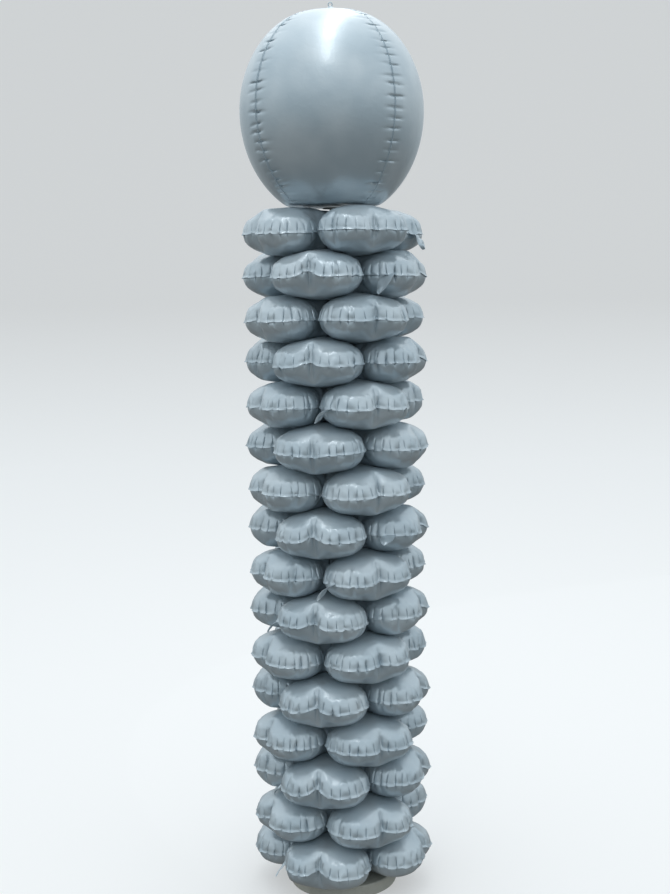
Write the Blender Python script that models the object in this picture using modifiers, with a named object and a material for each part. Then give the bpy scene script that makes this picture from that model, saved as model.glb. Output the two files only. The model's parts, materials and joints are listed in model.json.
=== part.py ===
"""Foil balloon column: four-leaf foil balloons stacked on a pole, a foil globe on top, a round base below.

Metres, +Z up, with the origin at the centre of the base's underside. Leaves of the even layers
(counted from the floor) point half way between the axes, and those of the odd layers along them.
"""

import math

import bmesh
import bpy
from mathutils import Matrix, Vector

# Driving dimensions
LAYER_COUNT = 16
LAYER_PITCH = 0.119
CONTACT_GAP = 0.0005
LEAVES = 4
LEAF_STEP = math.radians(360 / LEAVES)

# A leaf's outline, in its own frame: along its centreline, and to the side of it
LOBE_ALONG = 0.1871
LOBE_ASIDE = 0.0525
LOBE_RADIUS = 0.0717
LOBE_END_ANGLE = math.radians(36.7)
DEEP_NOTCH_RADIUS = 0.1427
EYELET_RADIUS = 0.0115
WEB_RADIUS = 0.038

# A leaf's half thickness over its centreline, and what is left of it in the deep notch
LEAF_HALF_THICKNESS = 0.0690
NOTCH_HALF_THICKNESS = 0.047
WEB_HALF_THICKNESS = 0.003
RIDGE_RADIUS = 0.130
NOTCH_RIDGE_RADIUS = 0.080
# How round the outer side is over the centreline, and how much flatter towards the deep notch
OUTER_FULLNESS = 0.70
NOTCH_FLATNESS = 1.5
INNER_FULLNESS = 0.4

LAYER_SEGMENTS = 32
SECTION_SEGMENTS = 12
SEGMENT_CROWDING = math.radians(2.5)

# The filling tail of each balloon, and the leaf that it is on, counted from the -Y side
TAIL_NORMAL = math.radians(-98)
TAIL_LENGTH = 0.050
TAIL_ROOT = 0.012
TAIL_WIDTH = 0.026
TAIL_THICKNESS = 0.002
TAIL_DROOP = math.radians(95)
TAIL_LEAF = (0, 3, 0, 2, 2, 3, 0, 1, 1, 1, 2, 1, 2, 1, 1, 2)

# The globe, which the top layer's leaves press flat underneath
GLOBE_RADIUS = 0.2585
GLOBE_UPPER_HEIGHT = 0.286
GLOBE_LOWER_HEIGHT = 0.298
GLOBE_LIFT = 0.330
GLOBE_FLAT_TOP = 0.012
GLOBE_SHOULDER = 0.03
GLOBE_SEAT_HEIGHT = 0.0696
GLOBE_SEAM_ANGLE = math.radians(-33.5)
GLOBE_CORNER = 0.012
GLOBE_SEGMENTS = 32
GLOBE_RINGS = 20
TAB_FOOT_RADIUS = 0.018
TAB_NECK_RADIUS = 0.004
TAB_HEIGHT = 0.012
TAB_RING_RADIUS = 0.0055
TAB_RING_SECTION = 0.0018

# The stand
BASE_RADIUS = 0.156
BASE_HEIGHT = 0.037
BASE_EDGE = 0.004
POLE_RADIUS = 0.010
POLE_SECTIONS = 4
SPIGOT_RADIUS = 0.0075
SPIGOT_LENGTH = 0.035
SLIP_GAP = 0.0003
SOCKET_FOOT_RADIUS = 0.017
SOCKET_FOOT_DEPTH = 0.014
SOCKET_FLOOR = 0.003
SOCKET_FLANGE_RADIUS = 0.030
SOCKET_FLANGE_HEIGHT = 0.004
SOCKET_BOSS_RADIUS = 0.0155
SOCKET_HEIGHT = 0.022
CAP_RADIUS = 0.016
CAP_HEIGHT = 0.006
CAP_PLUG_RADIUS = 0.012
CAP_PLUG_DEPTH = 0.010
CAP_OFFSET = 0.118
CAP_ANGLE = math.radians(135)
SEAT_RADIUS = 0.030
SEAT_LIFT = 0.0660
SEAT_THICKNESS = 0.0032
SEAT_COLLAR_HEIGHT = 0.0088
SEAT_COLLAR_RADIUS = 0.0110
ROUND_SEGMENTS = 48
TUBE_SEGMENTS = 16

FIRST_LAYER_HEIGHT = BASE_HEIGHT + CONTACT_GAP + LEAF_HALF_THICKNESS
TOP_LAYER_HEIGHT = FIRST_LAYER_HEIGHT + (LAYER_COUNT - 1) * LAYER_PITCH


def clear_scene():
    """Removes what the file opened with."""
    for item in list(bpy.data.objects):
        bpy.data.objects.remove(item)


def make_collection(name, parent):
    made = bpy.data.collections.new(name)
    parent.children.link(made)
    return made


def make_material(name, color, roughness, metallic):
    material = bpy.data.materials.new(name)
    material.use_nodes = True
    shader = material.node_tree.nodes["Principled BSDF"]
    shader.inputs["Base Color"].default_value = (*color, 1)
    shader.inputs["Roughness"].default_value = roughness
    shader.inputs["Metallic"].default_value = metallic
    return material


def object_of(mesh, name, material, collection):
    """A new object in its collection, smooth but for its sharp edges."""
    made = bpy.data.objects.new(name, mesh)
    collection.objects.link(made)
    mesh.materials.clear()
    mesh.materials.append(material)
    mesh.shade_smooth()
    mesh.set_sharp_from_angle(angle=math.radians(40))
    return made


def mesh_of(shape, name):
    """A mesh from a bmesh, which it frees."""
    mesh = bpy.data.meshes.new(name)
    bmesh.ops.recalc_face_normals(shape, faces=shape.faces)
    shape.to_mesh(mesh)
    shape.free()
    return mesh


def lobe_radius(angle):
    """Distance from the pole to the far side of a leaf's lobe, at this angle from the centreline."""
    reach = math.hypot(LOBE_ALONG, LOBE_ASIDE)
    turn = angle - math.atan2(LOBE_ASIDE, LOBE_ALONG)
    return reach * math.cos(turn) + math.sqrt(LOBE_RADIUS**2 - (reach * math.sin(turn)) ** 2)


def outline_radius(angle):
    """The balloon's edge: round lobes, a shallow notch between two, and a deep one between leaves."""
    if angle <= LOBE_END_ANGLE:
        return lobe_radius(angle)
    end = lobe_radius(LOBE_END_ANGLE)
    start_point = Vector((end * math.cos(LOBE_END_ANGLE), end * math.sin(LOBE_END_ANGLE)))
    notch = DEEP_NOTCH_RADIUS / math.sqrt(2)
    along = Vector((notch, notch)) - start_point
    ray = Vector((math.cos(angle), math.sin(angle)))
    share = ray.cross(start_point) / along.cross(ray)
    return (start_point + share * along).length


def half_thickness(angle):
    """Full over the leaf's centreline, half a pitch where two layers touch, least in the deep notch."""
    touching = (LAYER_PITCH - CONTACT_GAP) / 2
    wave = math.cos(LEAVES * angle)
    if wave >= 0:
        return touching + (LEAF_HALF_THICKNESS - touching) * wave
    return touching + (touching - NOTCH_HALF_THICKNESS) * wave


def leaf_point(turn, section):
    """Where a torus point, at this turn round the pole and round the tube, lies on the balloon."""
    crowded = turn - SEGMENT_CROWDING * math.sin(8 * turn)
    folded = abs((crowded + LEAF_STEP / 2) % LEAF_STEP - LEAF_STEP / 2)
    edge = outline_radius(folded)
    thick = half_thickness(folded)
    depth = folded / (LEAF_STEP / 2)
    ridge = RIDGE_RADIUS + (NOTCH_RIDGE_RADIUS - RIDGE_RADIUS) * depth**3
    outward = math.cos(section)
    if outward >= 0:
        radius = ridge + (edge - ridge) * outward
        fullness = OUTER_FULLNESS + NOTCH_FLATNESS * depth**2.5
        height = thick * abs(math.sin(section)) ** fullness
    else:
        radius = ridge + (ridge - EYELET_RADIUS) * outward
        share = max((radius - WEB_RADIUS) / (ridge - WEB_RADIUS), 0.0)
        height = thick * math.sin(math.pi / 2 * share) ** INNER_FULLNESS
        height = max(height, WEB_HALF_THICKNESS * min(abs(math.sin(section)) * 4, 1.0))
    height = math.copysign(height, math.sin(section))
    return Vector((radius * math.cos(crowded), radius * math.sin(crowded), height))


def clover_mesh():
    """One layer's balloon, its leaves on the axes, made from a torus round the pole."""
    major, minor = 2.0, 1.0
    bpy.ops.mesh.primitive_torus_add(
        major_segments=LAYER_SEGMENTS,
        minor_segments=SECTION_SEGMENTS,
        major_radius=major,
        minor_radius=minor,
    )
    torus = bpy.context.object
    mesh = torus.data.copy()
    bpy.data.objects.remove(torus)
    for vertex in mesh.vertices:
        x, y, z = vertex.co
        turn = math.atan2(y, x)
        section = math.atan2(z, math.hypot(x, y) - major)
        vertex.co = leaf_point(turn, section)
    mesh.update()
    return mesh


def tail_mesh():
    """The flat filling tail, rooted in the side of the leaf that points along +X, drooping."""
    shape = bmesh.new()
    bmesh.ops.create_cube(shape, size=1.0)
    length_edges = [
        edge
        for edge in shape.edges
        if abs(edge.verts[0].co.x - edge.verts[1].co.x) > 0.5
    ]
    bmesh.ops.subdivide_edges(shape, edges=length_edges, cuts=5)
    normal = Vector((math.cos(TAIL_NORMAL), math.sin(TAIL_NORMAL), 0))
    side = Vector((-normal.y, normal.x, 0))
    root = Vector((LOBE_ALONG, -LOBE_ASIDE, 0)) + (LOBE_RADIUS - TAIL_ROOT) * normal
    reach = TAIL_ROOT + TAIL_LENGTH
    for vertex in shape.verts:
        share = vertex.co.x + 0.5
        bend = TAIL_DROOP * share
        run = reach * math.sin(bend) / TAIL_DROOP
        drop = reach * (1 - math.cos(bend)) / TAIL_DROOP
        width = TAIL_WIDTH * (1 - 0.45 * share**2)
        thickness = TAIL_THICKNESS * vertex.co.z
        vertex.co = (
            root
            + normal * (run + thickness * math.sin(bend))
            + side * (width * vertex.co.y)
            + Vector((0, 0, thickness * math.cos(bend) - drop))
        )
    return mesh_of(shape, "tail")


def join_solid(target, addition, cutters):
    """Unites a second solid with the first, and applies it."""
    helper = bpy.data.objects.new("helper", addition)
    cutters.objects.link(helper)
    modifier = target.modifiers.new("join", "BOOLEAN")
    modifier.operation = "UNION"
    modifier.object = helper
    graph = bpy.context.evaluated_depsgraph_get()
    joined = bpy.data.meshes.new_from_object(target.evaluated_get(graph))
    target.modifiers.clear()
    bpy.data.objects.remove(helper)
    return joined


def make_clovers(material, collection, cutters):
    """Every layer, from the floor up. A layer is turned by half a leaf from the one below it."""
    template = object_of(clover_mesh(), "clover_template", material, cutters)
    united = join_solid(template, tail_mesh(), cutters)
    bpy.data.objects.remove(template)
    for index in range(LAYER_COUNT):
        leaf_turn = -LEAF_STEP - LEAF_STEP / 2 * (index % 2)
        turn = leaf_turn + TAIL_LEAF[index] * LEAF_STEP
        clover = object_of(united.copy(), f"clover_{index + 1:02d}", material, collection)
        clover.location.z = FIRST_LAYER_HEIGHT + index * LAYER_PITCH
        clover.rotation_euler.z = turn


def make_globe(material, collection):
    """Four gores: a ball drawn out upwards, flat at its top, pressed flat below, proud at its seams."""
    shape = bmesh.new()
    bmesh.ops.create_uvsphere(shape, u_segments=GLOBE_SEGMENTS, v_segments=GLOBE_RINGS, radius=1.0)
    lowest = GLOBE_SEAT_HEIGHT - GLOBE_LIFT
    for vertex in shape.verts:
        x, y, z = vertex.co
        turn = math.atan2(y, x)
        across = math.hypot(x, y)
        spread = GLOBE_RADIUS * (1 + GLOBE_CORNER * across**2 * math.cos(LEAVES * turn))
        if z > 0:
            height = GLOBE_UPPER_HEIGHT * z - GLOBE_FLAT_TOP * z**10
            spread *= 1 + GLOBE_SHOULDER * z**4
        else:
            height = max(GLOBE_LOWER_HEIGHT * z, lowest)
        vertex.co = Vector((spread * x, spread * y, height))
    globe = object_of(mesh_of(shape, "globe"), "globe", material, collection)
    globe.location.z = TOP_LAYER_HEIGHT + GLOBE_LIFT
    globe.rotation_euler.z = GLOBE_SEAM_ANGLE - math.pi / 2


def make_globe_tab(material, collection, cutters):
    """The tab on the globe's top: a flared foot with a ring standing in it."""
    bottom = TOP_LAYER_HEIGHT + GLOBE_LIFT + GLOBE_UPPER_HEIGHT - GLOBE_FLAT_TOP + CONTACT_GAP
    bpy.ops.mesh.primitive_cone_add(
        vertices=16,
        radius1=TAB_FOOT_RADIUS,
        radius2=TAB_NECK_RADIUS,
        depth=TAB_HEIGHT,
    )
    foot = bpy.context.object
    foot_mesh = foot.data.copy()
    bpy.data.objects.remove(foot)
    foot_mesh.transform(Matrix.Translation((0, 0, bottom + TAB_HEIGHT / 2)))
    bpy.ops.mesh.primitive_torus_add(
        major_segments=16,
        minor_segments=8,
        major_radius=TAB_RING_RADIUS,
        minor_radius=TAB_RING_SECTION,
    )
    ring = bpy.context.object
    ring_mesh = ring.data.copy()
    bpy.data.objects.remove(ring)
    ring_height = bottom + TAB_HEIGHT + TAB_RING_RADIUS - TAB_RING_SECTION / 2
    upright = Matrix.Rotation(math.pi / 2, 4, "X")
    ring_mesh.transform(Matrix.Translation((0, 0, ring_height)) @ upright)
    tab = object_of(foot_mesh, "globe_top_tab", material, collection)
    united = join_solid(tab, ring_mesh, cutters)
    tab.data = united


def encloses_less_than_nothing(made):
    """Whether the faces of an object, with its modifiers, look inwards."""
    graph = bpy.context.evaluated_depsgraph_get()
    shape = bmesh.new()
    shape.from_object(made, graph)
    volume = shape.calc_volume(signed=True)
    shape.free()
    return volume < 0


def turned(name, profile, segments, material, collection):
    """A solid of revolution. Its profile runs up its outer side, from axis to axis."""
    mesh = bpy.data.meshes.new(name)
    corners = [(radius, 0, height) for radius, height in profile]
    edges = [(i, i + 1) for i in range(len(profile) - 1)]
    mesh.from_pydata(corners, edges, [])
    made = object_of(mesh, name, material, collection)
    screw = made.modifiers.new("turn", "SCREW")
    screw.steps = segments
    screw.render_steps = segments
    screw.use_merge_vertices = True
    screw.merge_threshold = 0.00001
    screw.use_normal_calculate = True
    screw.use_normal_flip = encloses_less_than_nothing(made)
    return made


def cap_place():
    """The filling cap's place on the base: behind, under the gap between two leaves."""
    return CAP_OFFSET * math.cos(CAP_ANGLE), CAP_OFFSET * math.sin(CAP_ANGLE)


def make_base(plastic, collection, cutters):
    """The low round base, with the recess for the pole's socket and the hole for its filling cap."""
    edge = BASE_EDGE
    recess = SOCKET_FOOT_RADIUS + SLIP_GAP
    recess_floor = BASE_HEIGHT - SOCKET_FOOT_DEPTH
    profile = [
        (0, 0),
        (BASE_RADIUS - edge, 0),
        (BASE_RADIUS - 0.3 * edge, 0.3 * edge),
        (BASE_RADIUS, edge),
        (BASE_RADIUS, BASE_HEIGHT - edge),
        (BASE_RADIUS - 0.3 * edge, BASE_HEIGHT - 0.3 * edge),
        (BASE_RADIUS - edge, BASE_HEIGHT),
        (recess, BASE_HEIGHT),
        (recess, recess_floor),
        (0, recess_floor),
    ]
    base = turned("base_body", profile, ROUND_SEGMENTS, plastic, collection)
    bpy.ops.mesh.primitive_cylinder_add(
        vertices=TUBE_SEGMENTS,
        radius=CAP_PLUG_RADIUS + SLIP_GAP,
        depth=2 * (CAP_PLUG_DEPTH + SLIP_GAP),
        location=(*cap_place(), BASE_HEIGHT),
    )
    hole = bpy.context.object
    hole.name = "filling_hole"
    for holder in list(hole.users_collection):
        holder.objects.unlink(hole)
    cutters.objects.link(hole)
    hole.hide_render = True
    hole.display_type = "WIRE"
    cut = base.modifiers.new("filling hole", "BOOLEAN")
    cut.operation = "DIFFERENCE"
    cut.solver = "EXACT"
    cut.object = hole


def make_cap(plastic, collection):
    """The filling cap: a low head on a plug."""
    foot = BASE_HEIGHT - CAP_PLUG_DEPTH
    under = BASE_HEIGHT + SLIP_GAP
    profile = [
        (0, foot),
        (CAP_PLUG_RADIUS, foot),
        (CAP_PLUG_RADIUS, under),
        (CAP_RADIUS, under),
        (CAP_RADIUS, under + 0.7 * CAP_HEIGHT),
        (0.85 * CAP_RADIUS, under + CAP_HEIGHT),
        (0, under + CAP_HEIGHT),
    ]
    cap = turned("base_filling_cap", profile, TUBE_SEGMENTS, plastic, collection)
    cap.location.x, cap.location.y = cap_place()


def make_socket(plastic, collection):
    """The flanged socket that holds the foot of the pole."""
    bottom = BASE_HEIGHT - SOCKET_FOOT_DEPTH + SLIP_GAP
    under = BASE_HEIGHT + SLIP_GAP
    flange_top = under + SOCKET_FLANGE_HEIGHT
    top = BASE_HEIGHT + SOCKET_HEIGHT
    bore = POLE_RADIUS + SLIP_GAP
    profile = [
        (0, bottom),
        (SOCKET_FOOT_RADIUS, bottom),
        (SOCKET_FOOT_RADIUS, under),
        (SOCKET_FLANGE_RADIUS, under),
        (SOCKET_FLANGE_RADIUS, flange_top),
        (SOCKET_BOSS_RADIUS, flange_top + 0.002),
        (SOCKET_BOSS_RADIUS, top),
        (bore, top),
        (bore, bottom + SOCKET_FLOOR),
        (0, bottom + SOCKET_FLOOR),
    ]
    turned("pole_socket", profile, TUBE_SEGMENTS, plastic, collection)
    return bottom + SOCKET_FLOOR + SLIP_GAP


def make_pole(metal, collection, foot):
    """Equal sections, each with a spigot on top that goes into the one above."""
    top = TOP_LAYER_HEIGHT + SEAT_LIFT - SEAT_COLLAR_HEIGHT
    length = (top - foot - (POLE_SECTIONS - 1) * SLIP_GAP) / POLE_SECTIONS
    for index in range(POLE_SECTIONS):
        start = foot + index * (length + SLIP_GAP)
        end = start + length
        profile = [
            (POLE_RADIUS, start),
            (POLE_RADIUS, end),
            (SPIGOT_RADIUS, end),
            (SPIGOT_RADIUS, end + SPIGOT_LENGTH),
            (0, end + SPIGOT_LENGTH),
        ]
        if index == POLE_SECTIONS - 1:
            profile[3:] = [(SPIGOT_RADIUS, end + 0.010), (0, end + 0.010)]
        if index == 0:
            profile.insert(0, (0, start))
        else:
            bore = SPIGOT_RADIUS + SLIP_GAP
            bore_end = start + SPIGOT_LENGTH
            profile[:0] = [(0, bore_end), (bore, bore_end), (bore, start)]
        turned(f"pole_section_{index + 1}", profile, TUBE_SEGMENTS, metal, collection)
    return top


def make_seat(plastic, collection, pole_top):
    """The disc on the pole's last spigot, which carries the globe."""
    under = TOP_LAYER_HEIGHT + SEAT_LIFT
    top = under + SEAT_THICKNESS
    bore = SPIGOT_RADIUS + SLIP_GAP
    profile = [
        (0, top - 0.0015),
        (bore, top - 0.0015),
        (bore, pole_top + SLIP_GAP),
        (SEAT_COLLAR_RADIUS - 0.001, pole_top + SLIP_GAP),
        (SEAT_COLLAR_RADIUS - 0.001, under),
        (SEAT_RADIUS, under),
        (SEAT_RADIUS, top),
        (0, top),
    ]
    turned("globe_seat", profile, TUBE_SEGMENTS, plastic, collection)


def main():
    clear_scene()
    scene_root = bpy.context.scene.collection
    column = make_collection("foil_balloon_column", scene_root)
    cutters = make_collection("helpers", scene_root)
    foil = make_material("satin_foil", (0.50, 0.57, 0.62), 0.28, 0.35)
    base_plastic = make_material("base_plastic", (0.36, 0.36, 0.33), 0.55, 0.0)
    fitting_plastic = make_material("fitting_plastic", (0.60, 0.60, 0.58), 0.50, 0.0)
    pole_metal = make_material("pole_aluminium", (0.70, 0.70, 0.71), 0.35, 1.0)
    make_base(base_plastic, column, cutters)
    make_cap(base_plastic, column)
    foot = make_socket(fitting_plastic, column)
    pole_top = make_pole(pole_metal, column, foot)
    make_seat(fitting_plastic, column, pole_top)
    make_clovers(foil, column, cutters)
    make_globe(foil, column)
    make_globe_tab(foil, column, cutters)


main()
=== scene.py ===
"""Scene for the foil balloon column: sixteen nested four-leaf foil balloons, a foil globe and a stand.

Every foil balloon is cut flat, sealed and blown up with Blender's cloth simulation. Each layer then gets
its own pleats, creases, seam flange and filling tail, and is pressed against its neighbours.
"""

from __future__ import annotations

import json
import logging
import math
import time
from dataclasses import dataclass, field
from enum import Enum

import bpy
import numpy as np
from mathutils import Matrix, Vector, kdtree, noise
from mathutils.bvhtree import BVHTree
from mathutils.geometry import delaunay_2d_cdt

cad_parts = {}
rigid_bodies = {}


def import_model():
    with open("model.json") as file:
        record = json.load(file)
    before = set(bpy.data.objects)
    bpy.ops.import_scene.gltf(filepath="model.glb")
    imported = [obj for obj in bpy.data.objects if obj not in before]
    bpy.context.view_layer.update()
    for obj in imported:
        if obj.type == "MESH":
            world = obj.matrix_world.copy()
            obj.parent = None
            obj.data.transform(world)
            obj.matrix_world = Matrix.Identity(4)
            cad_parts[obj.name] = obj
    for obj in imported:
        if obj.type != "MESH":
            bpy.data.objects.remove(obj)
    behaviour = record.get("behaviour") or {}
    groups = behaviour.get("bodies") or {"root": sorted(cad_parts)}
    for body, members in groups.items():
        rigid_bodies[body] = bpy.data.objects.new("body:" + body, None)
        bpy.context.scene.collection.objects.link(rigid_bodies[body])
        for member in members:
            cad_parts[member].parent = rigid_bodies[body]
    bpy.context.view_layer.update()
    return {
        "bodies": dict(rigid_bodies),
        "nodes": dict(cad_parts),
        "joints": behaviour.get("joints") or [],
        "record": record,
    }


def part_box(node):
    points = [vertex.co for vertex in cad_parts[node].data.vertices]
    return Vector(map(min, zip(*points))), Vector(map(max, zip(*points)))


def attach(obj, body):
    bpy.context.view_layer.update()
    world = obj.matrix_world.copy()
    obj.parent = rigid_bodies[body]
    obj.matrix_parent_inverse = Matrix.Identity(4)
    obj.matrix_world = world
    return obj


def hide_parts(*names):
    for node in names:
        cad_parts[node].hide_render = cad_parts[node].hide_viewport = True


LOG = logging.getLogger("column")
ROOT = "root"
LEAVES = 4
QUARTER = math.pi / 2
VIEW_TURN = math.radians(17)
LAYER_PITCH = 0.119


def srgb(code: str) -> tuple[float, float, float, float]:
    """Turns an sRGB hex colour into the linear colour that a shader takes.

    Args:
        code: the colour, such as "c0c8cc".

    Returns:
        Red, green, blue and an alpha of 1.
    """
    linear = []
    for start in (0, 2, 4):
        value = int(code[start : start + 2], 16) / 255
        linear.append(value / 12.92 if value <= 0.04045 else ((value + 0.055) / 1.055) ** 2.4)
    return (*linear, 1.0)


def add_node(
    material: bpy.types.Material,
    kind: str,
    settings: dict[str, object] | None = None,
    inputs: dict[str, object] | None = None,
    links: dict[str, bpy.types.NodeSocket] | None = None,
) -> bpy.types.Node:
    """Adds one shader node.

    Args:
        material: the material to add it to.
        kind: the node's type name.
        settings: properties of the node itself.
        inputs: constant values of its sockets.
        links: sockets of other nodes that feed it.

    Returns:
        The new node.
    """
    node = material.node_tree.nodes.new(kind)
    for name, value in (settings or {}).items():
        setattr(node, name, value)
    for name, value in (inputs or {}).items():
        node.inputs[name].default_value = value
    for name, socket in (links or {}).items():
        material.node_tree.links.new(socket, node.inputs[name])
    return node


def new_material(name: str) -> tuple[bpy.types.Material, bpy.types.Node]:
    """Starts a node material.

    Args:
        name: the material's name.

    Returns:
        The material and its shader node.
    """
    material = bpy.data.materials.new(name)
    material.use_nodes = True
    return material, material.node_tree.nodes["Principled BSDF"]


@dataclass(frozen=True)
class PearlFoil:
    """Metallised nylon foil film with a satin pearl lacquer, heat sealed.

    The lacquer over a thin metal layer gives a soft milky mirror, with a sharper clear gloss on top.
    """

    colour: str = "c3ced4"
    shade: str = "b2c0c8"
    metallic: float = 0.40
    roughness: float = 0.34
    coat: float = 0.45
    coat_roughness: float = 0.12
    crinkle_mm: float = 16.0
    crinkle: float = 0.10

    def build(self) -> bpy.types.Material:
        """Returns the film's material."""
        material, shader = new_material("satin_metallised_foil")
        place = add_node(material, "ShaderNodeTexCoord")
        # slow changes of the lacquer's tone, some 120 mm across
        tone = add_node(
            material,
            "ShaderNodeTexNoise",
            inputs={"Scale": 1000 / 120, "Detail": 2.0, "Roughness": 0.5},
            links={"Vector": place.outputs["Object"]},
        )
        ramp = add_node(material, "ShaderNodeValToRGB", links={"Fac": tone.outputs["Fac"]})
        ramp.color_ramp.elements[0].position = 0.35
        ramp.color_ramp.elements[0].color = srgb(self.shade)
        ramp.color_ramp.elements[1].position = 0.65
        ramp.color_ramp.elements[1].color = srgb(self.colour)
        material.node_tree.links.new(ramp.outputs["Color"], shader.inputs["Base Color"])
        # the film's fine crinkles
        fine = add_node(
            material,
            "ShaderNodeTexNoise",
            inputs={"Scale": 1000 / self.crinkle_mm, "Detail": 3.0, "Roughness": 0.45, "Distortion": 0.6},
            links={"Vector": place.outputs["Object"]},
        )
        bump = add_node(
            material,
            "ShaderNodeBump",
            inputs={"Strength": self.crinkle, "Distance": 0.004},
            links={"Height": fine.outputs["Fac"]},
        )
        material.node_tree.links.new(bump.outputs["Normal"], shader.inputs["Normal"])
        shader.inputs["Metallic"].default_value = self.metallic
        shader.inputs["Roughness"].default_value = self.roughness
        shader.inputs["Coat Weight"].default_value = self.coat
        shader.inputs["Coat Roughness"].default_value = self.coat_roughness
        return material


@dataclass(frozen=True)
class MouldedPlastic:
    """Blow-moulded or injection-moulded plastic with a fine spark-eroded grain and patches of dust."""

    name: str
    colour: str
    dust: str
    roughness: float = 0.5
    grain_mm: float = 1.2

    def build(self) -> bpy.types.Material:
        """Returns the plastic's material."""
        material, shader = new_material(self.name)
        place = add_node(material, "ShaderNodeTexCoord")
        cloud = add_node(
            material,
            "ShaderNodeTexNoise",
            inputs={"Scale": 1000 / 60, "Detail": 4.0, "Roughness": 0.6},
            links={"Vector": place.outputs["Object"]},
        )
        ramp = add_node(material, "ShaderNodeValToRGB", links={"Fac": cloud.outputs["Fac"]})
        ramp.color_ramp.elements[0].position = 0.30
        ramp.color_ramp.elements[0].color = srgb(self.colour)
        ramp.color_ramp.elements[1].position = 0.75
        ramp.color_ramp.elements[1].color = srgb(self.dust)
        material.node_tree.links.new(ramp.outputs["Color"], shader.inputs["Base Color"])
        grain = add_node(
            material,
            "ShaderNodeTexNoise",
            inputs={"Scale": 1000 / self.grain_mm, "Detail": 1.0},
            links={"Vector": place.outputs["Object"]},
        )
        bump = add_node(
            material,
            "ShaderNodeBump",
            inputs={"Strength": 0.12, "Distance": 0.0004},
            links={"Height": grain.outputs["Fac"]},
        )
        material.node_tree.links.new(bump.outputs["Normal"], shader.inputs["Normal"])
        shader.inputs["Roughness"].default_value = self.roughness
        return material


@dataclass(frozen=True)
class DrawnAluminium:
    """Drawn and clear anodised aluminium tube: fine lines along it spread its reflections sideways."""

    colour: str = "c9cacb"
    line_mm: float = 0.6

    def build(self) -> bpy.types.Material:
        """Returns the metal's material."""
        material, shader = new_material("anodised_aluminium_tube")
        place = add_node(material, "ShaderNodeTexCoord")
        stretch = add_node(
            material,
            "ShaderNodeMapping",
            inputs={"Scale": (1.0, 1.0, 0.02)},
            links={"Vector": place.outputs["Object"]},
        )
        lines = add_node(
            material,
            "ShaderNodeTexNoise",
            inputs={"Scale": 1000 / self.line_mm, "Detail": 2.0},
            links={"Vector": stretch.outputs["Vector"]},
        )
        spread = add_node(
            material,
            "ShaderNodeMapRange",
            inputs={"To Min": 0.28, "To Max": 0.42},
            links={"Value": lines.outputs["Fac"]},
        )
        material.node_tree.links.new(spread.outputs["Result"], shader.inputs["Roughness"])
        shader.inputs["Base Color"].default_value = srgb(self.colour)
        shader.inputs["Metallic"].default_value = 1.0
        return material


class Sheet(Enum):
    """The two films of a balloon."""

    UPPER = 1.0
    LOWER = -1.0


def distances(points: np.ndarray, others: np.ndarray) -> tuple[np.ndarray, np.ndarray]:
    """Finds the nearest of some points.

    Args:
        points: flat points that ask.
        others: flat points that answer.

    Returns:
        The distance to the nearest one, and which one it is.
    """
    tree = kdtree.KDTree(len(others))
    for index, point in enumerate(others):
        tree.insert((point[0], point[1], 0.0), index)
    tree.balance()
    far = np.empty(len(points))
    which = np.empty(len(points), dtype=int)
    for index, point in enumerate(points):
        _, which[index], far[index] = tree.find((point[0], point[1], 0.0))
    return far, which


def sheet_normals(points: np.ndarray, triangles: np.ndarray) -> np.ndarray:
    """Returns the unit normals at a sheet's points, weighted by triangle size.

    Args:
        points: places, one row each.
        triangles: rows of three point numbers.
    """
    a, b, c = (points[triangles[:, k]] for k in range(3))
    facing = np.cross(b - a, c - a)
    total = np.zeros_like(points)
    for corner in range(3):
        for axis in range(3):
            total[:, axis] += np.bincount(triangles[:, corner], facing[:, axis], len(points))
    return total / np.maximum(np.linalg.norm(total, axis=1), 1e-12)[:, None]


def unit(vectors: np.ndarray) -> np.ndarray:
    """Returns vectors at length one."""
    return vectors / np.maximum(np.linalg.norm(vectors, axis=1), 1e-12)[:, None]


def ring_smooth(values: np.ndarray, times: int) -> np.ndarray:
    """Smooths values along a closed loop, with their two neighbours, so many times."""
    for _ in range(times):
        values = (np.roll(values, 1, 0) + 2 * values + np.roll(values, -1, 0)) / 4
    return values


@dataclass(frozen=True)
class LeafPattern:
    """The flat cut of one layer: four leaves, each of two round lobes, round a hole for the pole."""

    along: float = 0.2047
    aside: float = 0.0360
    lobe: float = 0.1150
    deep_notch: float = 0.1550
    web: float = 0.035
    hole: float = 0.014

    def edge_radius(self, angles: np.ndarray) -> np.ndarray:
        """Returns the outline's distance from the pole at each angle."""
        turned = np.abs((angles + QUARTER / 2) % QUARTER - QUARTER / 2)
        notch = Vector((self.deep_notch / math.sqrt(2),) * 2)
        centre = Vector((self.along, self.aside))
        away = notch - centre
        bend = math.acos(self.lobe / away.length)
        heading = math.atan2(away.y, away.x) - bend
        touch = centre + self.lobe * Vector((math.cos(heading), math.sin(heading)))
        line = notch - touch
        reach = centre.length
        swing = turned - math.atan2(self.aside, self.along)
        inner = np.maximum(self.lobe**2 - (reach * np.sin(swing)) ** 2, 0.0)
        round_part = reach * np.cos(swing) + np.sqrt(inner)
        cosine, sine = np.cos(turned), np.sin(turned)
        share = (cosine * touch.y - sine * touch.x) / (line.x * sine - line.y * cosine)
        straight = np.hypot(touch.x + share * line.x, touch.y + share * line.y)
        return np.where(turned <= math.atan2(touch.y, touch.x), round_part, straight)

    def outline(self) -> np.ndarray:
        """Returns the sealed edge as a dense loop, its notches rounded as a die cuts them."""
        angles = np.linspace(-math.pi, math.pi, 4001)[:-1]
        radius = self.edge_radius(angles)
        loop = np.stack([radius * np.cos(angles), radius * np.sin(angles)], 1)
        return ring_smooth(loop, 60)


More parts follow.
